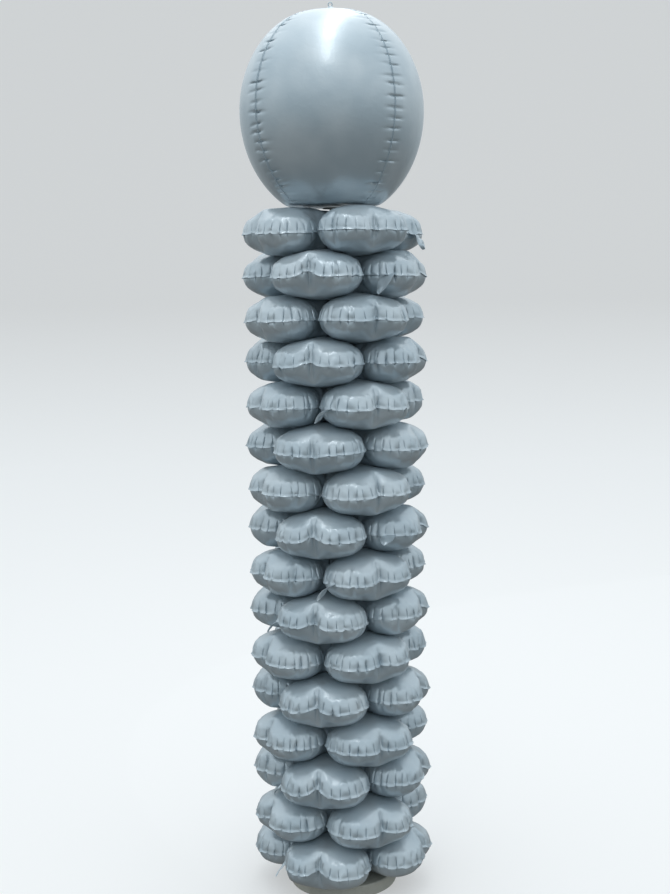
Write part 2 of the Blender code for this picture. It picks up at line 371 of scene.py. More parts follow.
@dataclass
class EdgeLine:
    """The sealed edge, measured along its length."""

    loop: np.ndarray
    steps: np.ndarray = field(init=False)
    length: float = field(init=False)
    inward: np.ndarray = field(init=False)

    def __post_init__(self) -> None:
        """Measures the loop."""
        gaps = np.linalg.norm(np.roll(self.loop, -1, 0) - self.loop, axis=1)
        self.steps = np.concatenate([[0.0], np.cumsum(gaps)])
        self.length = float(self.steps[-1])
        heading = unit(np.roll(self.loop, -3, 0) - np.roll(self.loop, 3, 0))
        self.inward = np.stack([-heading[:, 1], heading[:, 0]], 1)

    def at(self, places: np.ndarray, values: np.ndarray | None = None) -> np.ndarray:
        """Reads the loop, or values along it, at places along its length.

        Args:
            places: lengths from the loop's start.
            values: rows that go with the loop's points, or None for the points themselves.

        Returns:
            One row for each place.
        """
        rows = self.loop if values is None else values
        closed = np.vstack([rows, rows[:1]])
        wrapped = np.asarray(places) % self.length
        return np.stack([np.interp(wrapped, self.steps, closed[:, k]) for k in range(rows.shape[1])], 1)


def triangulated(
    points: np.ndarray, loop: int, rings: list[tuple[int, int]], hole: float
) -> tuple[np.ndarray, np.ndarray]:
    """Joins flat points into triangles.

    Args:
        points: the flat points, the outline's first.
        loop: how many of them are the outline.
        rings: first point and count of each inner ring that edges must follow.
        hole: radius of the hole that stays open.

    Returns:
        The points, and rows of three point numbers that run anticlockwise.
    """
    edges = [(start + k, start + (k + 1) % count) for start, count in rings for k in range(count)]
    flat = [Vector((float(x), float(y))) for x, y in points]
    made = delaunay_2d_cdt(flat, edges, [list(range(loop))], 1, 1e-7)
    verts = np.array([vert[:] for vert in made[0]])
    triangles = np.array([face for face in made[2] if len(face) == 3])
    middle = verts[triangles].mean(1)
    triangles = triangles[np.hypot(middle[:, 0], middle[:, 1]) > hole * 0.985]
    a, b, c = (verts[triangles[:, k]] for k in range(3))
    area = (b[:, 0] - a[:, 0]) * (c[:, 1] - a[:, 1]) - (b[:, 1] - a[:, 1]) * (c[:, 0] - a[:, 0])
    triangles[area < 0] = triangles[area < 0][:, ::-1]
    return verts, triangles


def circle(radius: float, count: int) -> np.ndarray:
    """Returns points round the pole."""
    angles = np.arange(count) * 2 * math.pi / count
    return np.stack([radius * np.cos(angles), radius * np.sin(angles)], 1)


def honeycomb(step: float, reach: float, jitter: float, rng: np.random.Generator) -> np.ndarray:
    """Returns points in staggered rows, each a little out of its place.

    Args:
        step: distance between neighbours.
        reach: half the side of the square that they fill.
        jitter: how far a point may be out, as a share of the step.
        rng: the seeded source of chance.
    """
    rows = np.arange(-reach, reach, step * math.sqrt(3) / 2)
    across = np.arange(-reach, reach, step)
    grid = [
        np.stack([across + (number % 2) * step / 2, np.full_like(across, row)], 1)
        for number, row in enumerate(rows)
    ]
    points = np.vstack(grid)
    return points + rng.uniform(-jitter * step, jitter * step, points.shape)


@dataclass
class InflatedClover:
    """One layer's balloon as it comes out of the simulation, still without pleats."""

    pattern: LeafPattern
    step: float = 0.008
    pressure: float = 22.0
    stretch: float = 40.0
    squeeze: float = 0.4
    frames: int = 30
    flat: np.ndarray = field(init=False)
    triangles: np.ndarray = field(init=False)
    sheets: dict[Sheet, np.ndarray] = field(init=False)

    def lay_out(self) -> int:
        """Makes the flat triangle net of the film.

        Returns:
            How many of its points are on the outline.
        """
        rng = np.random.default_rng(3)
        edge = EdgeLine(self.pattern.outline())
        count = int(round(edge.length / self.step / 4)) * 4
        places = np.arange(count) * edge.length / count
        border = edge.at(places)
        inward = edge.at(places, edge.inward)
        rows = []
        for number in (1, 2):
            depth = 0.9 * self.step * number
            row = border + inward * depth
            clear, _ = distances(row, edge.loop)
            row = row[clear > depth - 0.25 * self.step]
            keep = [0]
            for index in range(1, len(row)):
                if np.linalg.norm(row[index] - row[keep[-1]]) > 0.6 * self.step:
                    keep.append(index)
            rows.append(row[keep])
        band = np.vstack(rows)
        inner = honeycomb(self.step, 0.32, 0.12, rng)
        radius = np.hypot(inner[:, 0], inner[:, 1])
        inside = radius < self.pattern.edge_radius(np.arctan2(inner[:, 1], inner[:, 0]))
        inner = inner[inside & (radius > self.pattern.web + 0.5 * self.step)]
        inner = inner[distances(inner, edge.loop)[0] > 2.2 * self.step]
        inner = inner[distances(inner, band)[0] > 0.7 * self.step]
        middle = (self.pattern.web + self.pattern.hole) / 2
        web = circle(self.pattern.web, int(2 * math.pi * self.pattern.web / self.step))
        ring = circle(middle, int(2 * math.pi * middle / self.step))
        hole = circle(self.pattern.hole, 16)
        points = np.vstack([border, band, inner, web, ring, hole])
        web_start = len(border) + len(band) + len(inner)
        rings = [(web_start, len(web)), (web_start + len(web) + len(ring), len(hole))]
        self.flat, self.triangles = triangulated(points, count, rings, self.pattern.hole)
        return count

    def inflate(self) -> None:
        """Seals two films along the edge and the web, and blows them up."""
        count = self.lay_out()
        flat = self.flat
        total = len(flat)
        radius = np.hypot(flat[:, 0], flat[:, 1])
        angle = np.arctan2(flat[:, 1], flat[:, 0])
        folded = np.abs((angle + QUARTER / 2) % QUARTER - QUARTER / 2)
        sealed = (np.arange(total) < count) | (radius <= self.pattern.web + 1e-6)
        lower = np.arange(total)
        lower[~sealed] = total + np.arange((~sealed).sum())
        # the pleats pull the seam up at a leaf's tip, where its two lobes meet
        rise = 0.003 * np.exp(-((folded / 0.10) ** 2)) * np.clip((radius - 0.15) / 0.1, 0, 1)
        stir = np.array([noise.noise(Vector((x * 40, y * 40, 1.3))) for x, y in flat])
        rise += 0.0015 * stir * np.clip((radius - self.pattern.web) / 0.05, 0, 1)
        apart = np.where(sealed, 0.0, 0.0015)
        upper_points = np.column_stack([flat, rise + apart])
        lower_points = np.column_stack([flat, rise - apart])[~sealed]
        points = np.vstack([upper_points, lower_points])
        in_web = sealed[self.triangles].all(1) & (radius[self.triangles] <= self.pattern.web + 1e-6).all(1)
        turned_over = lower[self.triangles[~in_web]][:, ::-1]
        faces = np.vstack([self.triangles, turned_over])
        mesh = bpy.data.meshes.new("sealed_film")
        mesh.from_pydata(points.tolist(), [], faces.tolist())
        film = bpy.data.objects.new("sealed_film", mesh)
        bpy.context.scene.collection.objects.link(film)
        held = film.vertex_groups.new(name="held")
        held.add([int(k) for k in np.where(radius <= self.pattern.web * 0.9)[0]], 1.0, "REPLACE")
        cloth = film.modifiers.new("blow up", "CLOTH")
        facts = cloth.settings
        facts.quality = 5
        facts.mass = 0.1
        facts.tension_stiffness = self.stretch
        facts.shear_stiffness = self.stretch
        facts.compression_stiffness = self.squeeze
        facts.bending_stiffness = 0.01
        facts.tension_damping = facts.compression_damping = facts.shear_damping = 5
        facts.bending_damping = 0.5
        facts.air_damping = 5
        facts.vertex_group_mass = "held"
        facts.use_pressure = True
        facts.uniform_pressure_force = self.pressure
        facts.effector_weights.gravity = 0
        cloth.collision_settings.use_collision = False
        frames = self.frames
        cloth.point_cache.frame_start = 1
        cloth.point_cache.frame_end = frames
        scene = bpy.context.scene
        for frame in range(1, frames + 1):
            scene.frame_set(frame)
        graph = bpy.context.evaluated_depsgraph_get()
        blown = np.empty(len(points) * 3)
        film.evaluated_get(graph).data.vertices.foreach_get("co", blown)
        blown = blown.reshape(-1, 3)
        bpy.data.objects.remove(film)
        bpy.data.meshes.remove(mesh)
        scene.frame_set(1)
        self.sheets = {Sheet.UPPER: blown[:total], Sheet.LOWER: blown[lower]}
        LOG.info("blown up: %d points, %d frames", len(points), frames)


@dataclass(frozen=True)
class Twist:
    """How a layer takes its shape from the simulated one: quarter turns, and whether it is mirrored."""

    quarters: int
    mirrored: bool

    def flat_to_source(self, flat: np.ndarray) -> np.ndarray:
        """Returns where these flat points are on the simulated film."""
        angle = -self.quarters * QUARTER
        cosine, sine = round(math.cos(angle)), round(math.sin(angle))
        turned = flat @ np.array([[cosine, sine], [-sine, cosine]])
        return turned * np.array([1, -1]) if self.mirrored else turned

    def source_to_layer(self, points: np.ndarray) -> np.ndarray:
        """Returns places on the simulated film as places on the layer."""
        moved = points * np.array([1, -1, 1]) if self.mirrored else points
        angle = self.quarters * QUARTER
        cosine, sine = round(math.cos(angle)), round(math.sin(angle))
        return moved @ np.array([[cosine, sine, 0], [-sine, cosine, 0], [0, 0, 1]])


@dataclass
class Pleats:
    """The tucks along one layer's seam, where the inflated film has edge to spare."""

    places: np.ndarray
    depths: np.ndarray
    above: np.ndarray
    below: np.ndarray
    slants: np.ndarray
    swings: np.ndarray
    crests: np.ndarray
    arches: np.ndarray
    length: float
    beside: tuple[float, ...] = (0.0010, 0.0030, 0.0075)

    @classmethod
    def strewn(cls, length: float, rng: np.random.Generator) -> Pleats:
        """Spreads pleats along a seam.

        Args:
            length: the seam's length.
            rng: the seeded source of chance.

        Returns:
            The pleats.
        """
        gaps = rng.uniform(0.021, 0.036, int(length / 0.0285))
        gaps *= length / gaps.sum()
        count = len(gaps)
        places = np.cumsum(gaps) - gaps[0] + rng.uniform(0, 0.02)
        return cls(
            places=np.sort(places % length),
            depths=rng.uniform(0.0040, 0.0070, count),
            above=rng.uniform(0.022, 0.040, count),
            below=rng.uniform(0.010, 0.024, count),
            slants=rng.uniform(-0.20, 0.20, count),
            swings=rng.uniform(0.6, 1.0, count) * np.where(np.arange(count) % 2, 1, -1),
            crests=rng.uniform(0.019, 0.025, count),
            arches=rng.uniform(0.004, 0.011, count),
            length=length,
        )

    def columns(self) -> tuple[np.ndarray, np.ndarray, np.ndarray]:
        """Spreads lines of points across the seam, close together at every pleat.

        Returns:
            Where each line crosses the seam, how it slants, and whether it is needed far from the seam.
        """
        count = len(self.places)
        places, slants, needed = [], [], []
        for index in range(count):
            start = self.places[index]
            gap = (self.places[(index + 1) % count] - start) % self.length
            near, far = self.slants[index], self.slants[(index + 1) % count]
            beside = [step for step in self.beside if step < 0.42 * gap]
            steps = [0.0, *beside, gap / 2, *(gap - step for step in reversed(beside))]
            for number, step in enumerate(steps):
                flat_share = np.clip((step / gap - 0.2) / 0.6, 0, 1)
                places.append((start + step) % self.length)
                slants.append(near + (far - near) * flat_share)
                needed.append(number not in (1, len(steps) - 1))
        order = np.argsort(places)
        return np.array(places)[order], np.array(slants)[order], np.array(needed)[order]

    def nearest(self, along: np.ndarray) -> tuple[np.ndarray, np.ndarray, np.ndarray]:
        """Finds the pleats on both sides of places on the seam.

        Args:
            along: places along the seam.

        Returns:
            The pleat before, the one after, and where between them each place is, from 0 to 1.
        """
        before = (np.searchsorted(self.places, along, "right") - 1) % len(self.places)
        after = (before + 1) % len(self.places)
        gap = (self.places[after] - self.places[before]) % self.length
        share = ((along - self.places[before]) % self.length) / gap
        return before, after, share

    def signed(self, along: np.ndarray, pleat: np.ndarray) -> np.ndarray:
        """Returns how far each place is from its pleat, along the seam."""
        half = self.length / 2
        return (along - self.places[pleat] + half) % self.length - half

    def groove(self, along: np.ndarray, deep: np.ndarray, side: Sheet) -> np.ndarray:
        """Returns how far the film is drawn in at each point.

        Args:
            along: the points' places along the seam.
            deep: how far each is from the seam.
            side: the upper or the lower film.
        """
        before, after, share = self.nearest(along)
        reach = self.above if side is Sheet.UPPER else self.below
        drawn = np.zeros(len(along))
        for pleat in (before, after):
            off = self.signed(along, pleat) - self.slants[pleat] * deep
            width = 0.0008 + 0.025 * deep
            fade = np.clip(1 - deep / reach[pleat], 0, 1)
            fade = fade**2 * (3 - 2 * fade)
            drawn += self.depths[pleat] * np.exp(-np.abs(off) / width) * fade
        puff = 0.0006 * np.sin(math.pi * share) ** 2 * np.exp(-(((deep - 0.011) / 0.012) ** 2))
        # the film between two pleats bends along an arch, where the pleats end
        arch = self.crests[before] + self.arches[before] * np.sin(math.pi * share)
        strength = 0.0015 if side is Sheet.UPPER else 0.0006
        crest = strength * np.clip(1 - np.abs(deep - arch) / 0.012, 0, 1)
        # the film under the seam is drawn in behind the flange
        tuck = 0.0022 * np.exp(-(((deep - 0.0025) / 0.002) ** 2)) if side is Sheet.LOWER else 0.0
        return drawn - puff - crest + tuck


@dataclass
class Creases:
    """The folds that run in over the leaves from the notch between their two lobes."""

    shifts: np.ndarray
    depths: np.ndarray
    lengths: np.ndarray
    lifts: np.ndarray
    notch: float

    @classmethod
    def folded(cls, rng: np.random.Generator, notch: float, lift: float) -> Creases:
        """Makes one layer's folds.

        Args:
            rng: the seeded source of chance.
            notch: the shallow notch's distance from the pole, in the flat.
            lift: how far the seam rises at the notches.

        Returns:
            The folds.
        """
        return cls(
            shifts=rng.uniform(-0.004, 0.004, LEAVES),
            depths=rng.uniform(0.0011, 0.0021, LEAVES),
            lengths=rng.uniform(0.055, 0.085, LEAVES),
            lifts=lift + rng.uniform(-0.003, 0.003, LEAVES),
            notch=notch,
        )

    def local(self, flat: np.ndarray) -> tuple[np.ndarray, np.ndarray, np.ndarray]:
        """Returns each point's leaf, its place inwards from the notch, and its place aside."""
        angle = np.arctan2(flat[:, 1], flat[:, 0])
        leaf = np.round(angle / QUARTER).astype(int) % LEAVES
        folded = (angle + QUARTER / 2) % QUARTER - QUARTER / 2
        radius = np.hypot(flat[:, 0], flat[:, 1])
        return leaf, self.notch - radius * np.cos(folded), radius * np.sin(folded)

    def guide_points(self) -> np.ndarray:
        """Returns flat points for the mesh to follow the folds."""
        made = []
        for leaf in range(LEAVES):
            turn = Matrix.Rotation(leaf * QUARTER, 2)
            for deep in np.arange(0.004, 0.092, 0.0052):
                spread = 0.0042 + 0.05 * deep
                for aside in (-2.0, -1.3, -1.0, -0.7, 0.0, 0.7, 1.0, 1.3, 2.0):
                    offset = self.shifts[leaf] * deep / 0.05 + aside * spread
                    made.append(turn @ Vector((self.notch - deep, offset)))
        return np.array([point[:] for point in made])

    def drawn_in(self, flat: np.ndarray) -> np.ndarray:
        """Returns how far the film is drawn in at each flat point."""
        leaf, deep, aside = self.local(flat)
        offset = aside - self.shifts[leaf] * np.clip(deep, 0, None) / 0.05
        spread = 0.0042 + 0.05 * np.clip(deep, 0, None)
        fade = np.clip(1 - deep / self.lengths[leaf], 0, 1)
        fade = np.where(deep < -0.03, 0.0, fade**1.5)
        # two thin folds that run apart, and a slight ridge between them
        folds = np.exp(-(((np.abs(offset) / spread - 1.0) / 0.2) ** 2))
        ridge = np.exp(-((offset / spread / 0.6) ** 2))
        return self.depths[leaf] * fade * (folds - 0.3 * ridge)

    def lift(self, flat: np.ndarray) -> np.ndarray:
        """Returns how far the seam and the film beside it rise at each flat point."""
        leaf, deep, aside = self.local(flat)
        near = np.exp(-(np.abs(aside / 0.040) ** 3)) * np.exp(-((deep / 0.060) ** 2))
        return self.lifts[leaf] * near


@dataclass(frozen=True)
class FillTail:
    """The flat sleeve through which a layer is filled: how it hangs, bends and twists from its root."""

    leaf: int
    heading: float = 0.0
    droop: tuple[float, float] = (20.0, 80.0)
    roll: float = 0.0
    length: float = 0.050
    width: float = 0.026
    crumple: float = 0.004
    from_axis: float = math.radians(33)
    rows: int = 18
    lines: int = 9

    def build(self, root: Vector, outward: Vector, film: float, seed: int) -> tuple[np.ndarray, np.ndarray]:
        """Makes the sleeve.

        Args:
            root: where it leaves the seam.
            outward: the direction out of the seam there.
            film: thickness of one film.
            seed: number that sets its crumples.

        Returns:
            Its points and its triangles.
        """
        offset = np.random.default_rng(1300 + seed).uniform(-4, 4, 3)
        start = math.atan2(outward.y, outward.x) + math.radians(self.heading)
        along = Vector((math.cos(start), math.sin(start), 0.0))
        level = Vector((-along.y, along.x, 0.0))
        spot = root - along * 0.005
        step = (self.length + 0.005) / (self.rows - 1)
        upper, normals = [], []
        for row in range(self.rows):
            share = row / (self.rows - 1)
            droop = math.radians(self.droop[0] + (self.droop[1] - self.droop[0]) * share)
            way = along * math.cos(droop) - Vector((0, 0, math.sin(droop)))
            turn = Matrix.Rotation(math.radians(self.roll) * min(1.0, 1.6 * share), 3, way)
            side = turn @ level
            normal = way.cross(side)
            half = self.width / 2 * (0.72 + 0.42 * math.sin(math.pi * share)) * math.sqrt(max(1 - share**5, 0.03))
            for line in range(self.lines):
                across = -1 + 2 * line / (self.lines - 1)
                stir = noise.noise(Vector((share * 3.2 + offset[0], across * 1.3 + offset[1], offset[2])))
                upper.append(spot + side * half * across + normal * (self.crumple * stir * min(1, 3 * share)))
                normals.append(normal)
            spot = spot + way * step
        top = np.array([point[:] for point in upper])
        low = top - np.array([normal[:] for normal in normals]) * film * 2
        return np.vstack([top, low]), self.faces()

    def faces(self) -> np.ndarray:
        """Returns the sleeve's triangles: two sides and the rim between them."""
        lines, base = self.lines, self.rows * self.lines
        made = []
        for row in range(self.rows - 1):
            for line in range(lines - 1):
                a = row * lines + line
                b, c, d = a + 1, a + lines + 1, a + lines
                made += [(a, d, c), (a, c, b)]
                made += [(a + base, c + base, d + base), (a + base, b + base, c + base)]
        loop = list(range(lines))
        loop += [row * lines + lines - 1 for row in range(1, self.rows)]
        loop += [(self.rows - 1) * lines + line for line in range(lines - 2, -1, -1)]
        loop += [row * lines for row in range(self.rows - 2, 0, -1)]
        for first, second in zip(loop, loop[1:] + loop[:1]):
            made += [(first, second, second + base), (first, second + base, first + base)]
        return np.array(made)


@dataclass
class FilledLayer:
    """One four-leaf balloon of the stack: two films, their flange and the filling tail."""

    number: int
    height: float
    turn: float
    twist: Twist
    lift: float
    tail_form: FillTail
    row_depths: tuple[float, ...] = (0.0025, 0.0055, 0.009, 0.013, 0.0168, 0.0202, 0.0236, 0.027, 0.0304, 0.035)
    fill_step: float = 0.0068
    flange: float = 0.0062
    film: float = 0.0003
    full: float = 0.0685
    tip_bluntness: float = 0.25
    flank_bluntness: float = 0.62
    droop: float = math.radians(48)
    flat: np.ndarray = field(init=False)
    triangles: np.ndarray = field(init=False)
    border: int = field(init=False)
    hole_start: int = field(init=False)
    sheets: dict[Sheet, np.ndarray] = field(init=False)
    pleats: Pleats = field(init=False)
    creases: Creases = field(init=False)
    swing: np.ndarray = field(init=False)

    @property
    def name(self) -> str:
        """The CAD node that this layer stands for."""
        return f"clover_{self.number:02d}"

    def net(self, pattern: LeafPattern, edge: EdgeLine) -> None:
        """Makes the fine flat net, whose lines follow the pleats.

        Args:
            pattern: the flat cut.
            edge: the sealed edge.
        """
        rng = np.random.default_rng(500 + self.number)
        self.pleats = Pleats.strewn(edge.length, rng)
        columns, slants, needed = self.pleats.columns()
        border = edge.at(columns)
        radius = np.hypot(edge.loop[:, 0], edge.loop[:, 1])
        ahead = np.abs(np.arctan2(edge.loop[:, 1], edge.loop[:, 0])) < 0.05
        notch = float(radius[ahead].min())
        self.creases = Creases.folded(rng, notch, self.lift)
        guides = self.creases.guide_points()
        guide_radius = np.hypot(guides[:, 0], guides[:, 1])
        inside = guide_radius < pattern.edge_radius(np.arctan2(guides[:, 1], guides[:, 0]))
        guides = guides[inside]
        guides = guides[distances(guides, edge.loop)[0] > 0.0020]
        rows = []
        for number, depth in enumerate(self.row_depths):
            wanted = needed if number > 5 else np.ones(len(columns), dtype=bool)
            spots = columns[wanted] + slants[wanted] * depth
            row = edge.at(spots) + unit(edge.at(spots, edge.inward)) * depth
            clear, _ = distances(row, edge.loop)
            row = row[clear > 0.94 * depth - 0.0002]
            keep = [0]
            for index in range(1, len(row)):
                if np.linalg.norm(row[index] - row[keep[-1]]) > 0.0006:
                    keep.append(index)
            rows.append(row[keep])
        band = np.vstack(rows)
        band = band[distances(band, guides)[0] > 0.0018]
        taken = np.vstack([band, guides])
        inner = honeycomb(self.fill_step, 0.32, 0.10, rng)
        radius = np.hypot(inner[:, 0], inner[:, 1])
        inside = radius < pattern.edge_radius(np.arctan2(inner[:, 1], inner[:, 0]))
        inner = inner[inside & (radius > 0.045)]
        inner = inner[distances(inner, edge.loop)[0] > 0.006]
        inner = inner[distances(inner, taken)[0] > 0.62 * self.fill_step]
        core = [circle(0.040, 36), circle(0.031, 30), circle(0.022, 24)]
        hole = circle(pattern.hole, 24)
        points = np.vstack([border, taken, inner, *core, hole])
        self.border = len(border)
        self.hole_start = len(points) - len(hole)
        rings = [(self.hole_start, len(hole))]
        self.flat, self.triangles = triangulated(points, len(border), rings, pattern.hole)
        if len(self.flat) != len(points):
            raise ValueError(f"{self.name}: the net gained or lost points")

    def take_shape(self, source: InflatedClover, flat_tree: BVHTree) -> None:
        """Reads the blown-up shape at every point of the fine net, rounded between the coarse points.

        Args:
            source: the simulated balloon.
            flat_tree: the simulated film's flat triangles.
        """
        asked = self.twist.flat_to_source(self.flat)
        faces = np.empty(len(asked), dtype=int)
        spots = np.empty((len(asked), 2))
        for index, (x, y) in enumerate(asked):
            where, _, faces[index], _ = flat_tree.find_nearest((x, y, 0.0))
            spots[index] = where[:2]
        corners = source.triangles[faces]
        a, b, c = (source.flat[corners[:, k]] for k in range(3))
        whole = (b[:, 0] - a[:, 0]) * (c[:, 1] - a[:, 1]) - (b[:, 1] - a[:, 1]) * (c[:, 0] - a[:, 0])
        first = (b[:, 0] - spots[:, 0]) * (c[:, 1] - spots[:, 1])
        first = (first - (b[:, 1] - spots[:, 1]) * (c[:, 0] - spots[:, 0])) / whole
        second = (c[:, 0] - spots[:, 0]) * (a[:, 1] - spots[:, 1])
        second = (second - (c[:, 1] - spots[:, 1]) * (a[:, 0] - spots[:, 0])) / whole
        weights = np.stack([first, second, 1 - first - second], 1)[:, :, None]
        self.sheets = {}
        for side, points in source.sheets.items():
            normals = sheet_normals(points, source.triangles)
            places = points[corners]
            facing = normals[corners]
            plain = (places * weights).sum(1)
            lean = ((plain[:, None, :] - places) * facing).sum(2)[:, :, None]
            rounded = plain - ((lean * facing) * weights).sum(1)
            blended = 0.3 * plain + 0.7 * rounded
            self.sheets[side] = self.twist.source_to_layer(blended)
        self.relax(6)
        self.fill_out()

    def fill_out(self) -> None:
        """Gives the leaves a fuller, elliptical section, as film that can't stretch has."""
        angle = np.arctan2(self.flat[:, 1], self.flat[:, 0])
        folded = np.abs((angle + QUARTER / 2) % QUARTER - QUARTER / 2)
        flank = np.clip((np.degrees(folded) - 8) / 18, 0, 1)
        flank = flank**2 * (3 - 2 * flank)
        bluntness = self.tip_bluntness + (self.flank_bluntness - self.tip_bluntness) * flank
        for points in self.sheets.values():
            share = np.abs(points[:, 2]) / self.full
            fuller = share * (1 + bluntness * (1 - share))
            points[:, 2] = np.sign(points[:, 2]) * self.full * fuller

    def relax(self, times: int) -> None:
        """Evens the shape out, without sliding points along the film."""
        pairs = np.vstack([self.triangles[:, [0, 1]], self.triangles[:, [1, 2]], self.triangles[:, [2, 0]]])
        pairs = np.unique(np.sort(pairs, axis=1), axis=0)
        length = np.linalg.norm(self.flat[pairs[:, 0]] - self.flat[pairs[:, 1]], axis=1)
        weight = 1 / length
        total = len(self.flat)
        load = np.bincount(pairs[:, 0], weight, total) + np.bincount(pairs[:, 1], weight, total)
        fixed = np.zeros(total, dtype=bool)
        fixed[: self.border] = True
        fixed[self.hole_start :] = True
        edge = ring_smooth(self.sheets[Sheet.UPPER][: self.border], 2)
        for side, points in self.sheets.items():
            points[: self.border] = edge
            for _ in range(times):
                pulled = np.empty_like(points)
                for axis in range(3):
                    value = points[:, axis]
                    sums = np.bincount(pairs[:, 0], weight * value[pairs[:, 1]], total)
                    sums += np.bincount(pairs[:, 1], weight * value[pairs[:, 0]], total)
                    pulled[:, axis] = sums / load
                pulled[fixed] = points[fixed]
                points = 0.5 * points + 0.5 * pulled
            self.sheets[side] = points

    def crumple(self, edge: EdgeLine) -> None:
        """Draws in the pleats and the notch creases.

        Args:
            edge: the sealed edge, for each point's place along it.
        """
        deep, which = distances(self.flat, edge.loop)
        along = edge.steps[which]
        deep[: self.border] = 0.0
        folds = self.creases.drawn_in(self.flat)
        raise_by = self.creases.lift(self.flat)
        edge_out = self.seam_frame()[0]
        for side, points in self.sheets.items():
            normals = sheet_normals(points, self.triangles) * side.value
            drawn = self.pleats.groove(along, deep, side) + folds
            moved = points - normals * drawn[:, None]
            moved[: self.border] = points[: self.border] - edge_out * (0.45 * drawn[: self.border])[:, None]
            moved[:, 2] += raise_by
            self.sheets[side] = moved
        before, _, _ = self.pleats.nearest(along[: self.border])
        swing = np.zeros(self.border)
        for pleat in (before, (before + 1) % len(self.pleats.places)):
            off = self.pleats.signed(along[: self.border], pleat)
            swing += self.pleats.swings[pleat] * np.exp(-((off / 0.006) ** 2))
        for points in self.sheets.values():
            points[: self.border, 2] += 0.0011 * swing
        self.swing = swing

    def seam_frame(self) -> tuple[np.ndarray, np.ndarray]:
        """Returns the directions out of the seam and across it, at each of its points."""
        upper = sheet_normals(self.sheets[Sheet.UPPER], self.triangles)[: self.border]
        lower = -sheet_normals(self.sheets[Sheet.LOWER], self.triangles)[: self.border]
        outward = unit(ring_smooth(upper + lower, 12))
        across = ring_smooth(upper - lower, 12)
        across -= outward * (across * outward).sum(1)[:, None]
        return outward, unit(across)

    def build(self, foil: bpy.types.Material) -> bpy.types.Object:
        """Joins the films, the flange and the tail into one closed piece.

        Args:
            foil: the film's material.

        Returns:
            The layer's object.
        """
        rng = np.random.default_rng(900 + self.number)
        count = self.border
        upper = self.sheets[Sheet.UPPER].copy()
        lower = self.sheets[Sheet.LOWER].copy()
        total = len(upper)
        outward, across = self.seam_frame()
        seam = upper[:count].copy()
        radius = np.hypot(self.flat[:, 0], self.flat[:, 1])
        web = np.clip(1 - (radius - 0.040) / 0.01, 0, 1) * self.film
        upper[:, 2] += web
        lower[:, 2] -= web
        upper[:count] += across * self.film / 2
        lower[:count] -= across * self.film / 2
        width = self.flange * (1 + 0.16 * ring_smooth(rng.normal(0, 1, count), 6)[:, None])
        wave = self.swing + 0.5 * ring_smooth(rng.normal(0, 1, count), 3)
        bend = self.droop + 0.30 * wave
        middle = seam + (outward * np.cos(bend)[:, None] - across * np.sin(bend)[:, None]) * width * 0.5
        bend = self.droop + 0.55 * wave
        outer = middle + (outward * np.cos(bend)[:, None] - across * np.sin(bend)[:, None]) * width * 0.5
        points = np.vstack(
            [upper, lower, middle + across * self.film / 2, middle - across * self.film / 2, outer]
        )
        faces = [self.triangles, self.triangles[:, ::-1] + total]
        here = np.arange(count)
        after = (here + 1) % count
        start = 2 * total
        strips = [
            (here, start + here),
            (start + here, start + 2 * count + here),
            (start + 2 * count + here, start + count + here),
            (start + count + here, total + here),
        ]
        for inner, out in strips:
            faces.append(np.stack([inner, out, out[after]], 1))
            faces.append(np.stack([inner, out[after], inner[after]], 1))
        ring = self.hole_start + np.arange(total - self.hole_start)
        ring_after = np.roll(ring, -1)
        faces.append(np.stack([ring, ring_after, ring_after + total], 1))
        faces.append(np.stack([ring, ring_after + total, ring + total], 1))
        triangles = np.vstack(faces)
        tail_points, tail_faces = self.tail(outward, seam)
        triangles = np.vstack([triangles, tail_faces + len(points)])
        points = np.vstack([points, tail_points])
        cosine, sine = math.cos(self.turn), math.sin(self.turn)
        placed = points @ np.array([[cosine, sine, 0], [-sine, cosine, 0], [0, 0, 1]])
        placed[:, 2] += self.height
        return mesh_object(self.name + "_foil", placed, triangles, foil)

    def tail(self, outward: np.ndarray, seam: np.ndarray) -> tuple[np.ndarray, np.ndarray]:
        """Returns the filling tail's points and triangles, where the outline has its root.

        Args:
            outward: the directions out of the seam.
            seam: the seam's points.
        """
        angle = self.tail_form.leaf * QUARTER - self.tail_form.from_axis
        angles = np.arctan2(seam[:, 1], seam[:, 0])
        place = int(np.argmin(np.abs((angles - angle + math.pi) % (2 * math.pi) - math.pi)))
        return self.tail_form.build(Vector(seam[place]), Vector(outward[place]), self.film, self.number)


def mesh_object(
    name: str, points: np.ndarray, triangles: np.ndarray, material: bpy.types.Material
) -> bpy.types.Object:
    """Makes a smooth object whose place is in its mesh.

    Args:
        name: the object's name.
        points: its points.
        triangles: rows of three point numbers, anticlockwise seen from outside.
        material: its finish.

    Returns:
        The object, in the scene.
    """
    mesh = bpy.data.meshes.new(name)
    mesh.from_pydata(points.tolist(), [], triangles.tolist())
    mesh.materials.append(material)
    mesh.shade_smooth()
    mesh.set_sharp_from_angle(angle=math.radians(42))
    made = bpy.data.objects.new(name, mesh)
    bpy.context.scene.collection.objects.link(made)
    return made


